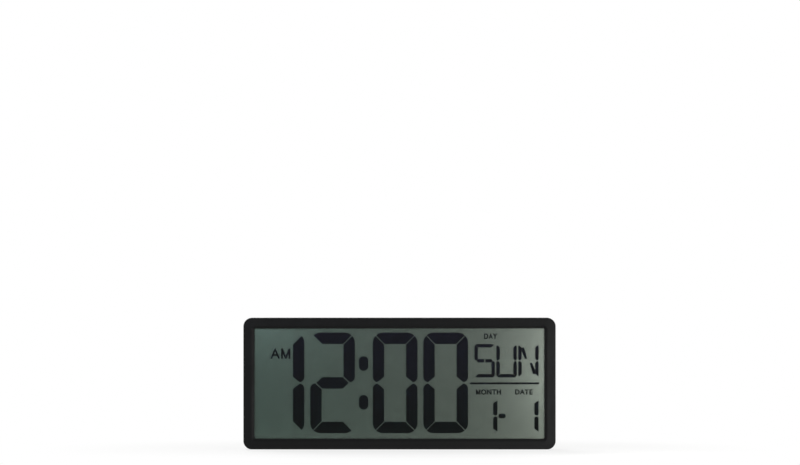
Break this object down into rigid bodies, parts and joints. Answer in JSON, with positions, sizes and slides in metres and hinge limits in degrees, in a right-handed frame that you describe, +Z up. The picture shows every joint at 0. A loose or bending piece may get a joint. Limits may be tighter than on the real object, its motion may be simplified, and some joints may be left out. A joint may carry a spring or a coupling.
{
  "type": "digital clock",
  "caption": "Large wall and table LCD clock with day and date, black bezel, fold-out stand, sliding battery door, rear buttons and keyhole slots.",
  "frame": {"origin": "middle of the bottom edge that the clock stands on", "axes": "+X to the right as seen from the front, display faces -Y, +Z up"},
  "size_m": [0.368, 0.03, 0.155],
  "materials": {
    "bezel_black": "fine satin black ABS",
    "housing_black": "fine textured black ABS",
    "stand_black": "fine textured black ABS",
    "button_grey": "satin dark grey ABS",
    "window_clear": "clear acrylic sheet",
    "gasket_foam": "black foam tape",
    "polariser_film": "neutral polarising film",
    "lcd_glass": "clear float glass",
    "seal_epoxy": "grey epoxy line",
    "segment_ink": "switched liquid crystal, near black",
    "reflector_film": "grey green reflective film",
    "holder_white": "natural white ABS",
    "zebra_rubber": "layered silicone strip",
    "board_green": "green solder mask",
    "epoxy_black": "cured epoxy",
    "component_steel": "bright tin plate",
    "component_black": "moulded component body",
    "spring_nickel": "nickel plated spring steel",
    "screw_zinc": "zinc plated steel",
    "battery_jacket": "plain printed steel jacket",
    "lead_red": "red PVC insulation",
    "lead_black": "black PVC insulation"
  },
  "bodies": {
    "case": {"front_bezel": "bezel_black", "rear_housing": "housing_black", "display_window": "window_clear", "window_gasket": "gasket_foam", "front_polariser": "polariser_film", "lcd_front_glass": "lcd_glass", "lcd_rear_glass": "lcd_glass", "lcd_edge_seal": "seal_epoxy", "rear_reflector": "reflector_film", "time_segments": "segment_ink", "colon_dots": "segment_ink", "day_segments": "segment_ink", "calendar_segments": "segment_ink", "divider_bar": "segment_ink", "lcd_holder": "holder_white", "zebra_strip": "zebra_rubber", "main_board": "board_green", "clock_chip": "epoxy_black", "crystal_can": "component_steel", "capacitors": "component_black", "resistors": "component_black", "tact_switches": "component_black", "buzzer": "component_black", "slide_switch_body": "component_steel", "battery_upper": "battery_jacket", "battery_lower": "battery_jacket", "contact_springs": "spring_nickel", "contact_plates": "spring_nickel", "link_contact": "spring_nickel", "red_lead": "lead_red", "black_lead": "lead_black", "case_screws": "screw_zinc", "holder_screws": "screw_zinc", "board_screws": "screw_zinc"},
    "door": {"battery_door": "housing_black"},
    "stand": {"stand_leg": "stand_black"},
    "alarm_knob": {"alarm_switch_knob": "button_grey"},
    "mode_button": {"mode_button": "button_grey"},
    "set_button": {"set_button": "button_grey"},
    "up_button": {"up_button": "button_grey"},
    "down_button": {"down_button": "button_grey"},
    "snooze_button": {"snooze_button": "button_grey"}
  },
  "joints": [
    {"name": "battery_door_slide", "type": "slide", "parent": "case", "child": "door", "axis": [0, 0, 1], "range_m": [0, 0.05]},
    {"name": "stand_fold", "type": "hinge", "parent": "case", "child": "stand", "pos_m": [0, 0.0117, 0.094], "axis": [1, 0, 0], "range_deg": [0, 30]},
    {"name": "alarm_switch_slide", "type": "slide", "parent": "case", "child": "alarm_knob", "axis": [1, 0, 0], "range_m": [0, 0.004]},
    {"name": "mode_press", "type": "slide", "parent": "case", "child": "mode_button", "axis": [0, -1, 0], "range_m": [0, 0.0006], "stiffness_N_per_m": 800},
    {"name": "set_press", "type": "slide", "parent": "case", "child": "set_button", "axis": [0, -1, 0], "range_m": [0, 0.0006], "stiffness_N_per_m": 800},
    {"name": "up_press", "type": "slide", "parent": "case", "child": "up_button", "axis": [0, -1, 0], "range_m": [0, 0.0006], "stiffness_N_per_m": 800},
    {"name": "down_press", "type": "slide", "parent": "case", "child": "down_button", "axis": [0, -1, 0], "range_m": [0, 0.0006], "stiffness_N_per_m": 800},
    {"name": "snooze_press", "type": "slide", "parent": "case", "child": "snooze_button", "axis": [0, -1, 0], "range_m": [0, 0.0006], "stiffness_N_per_m": 800}
  ]
}
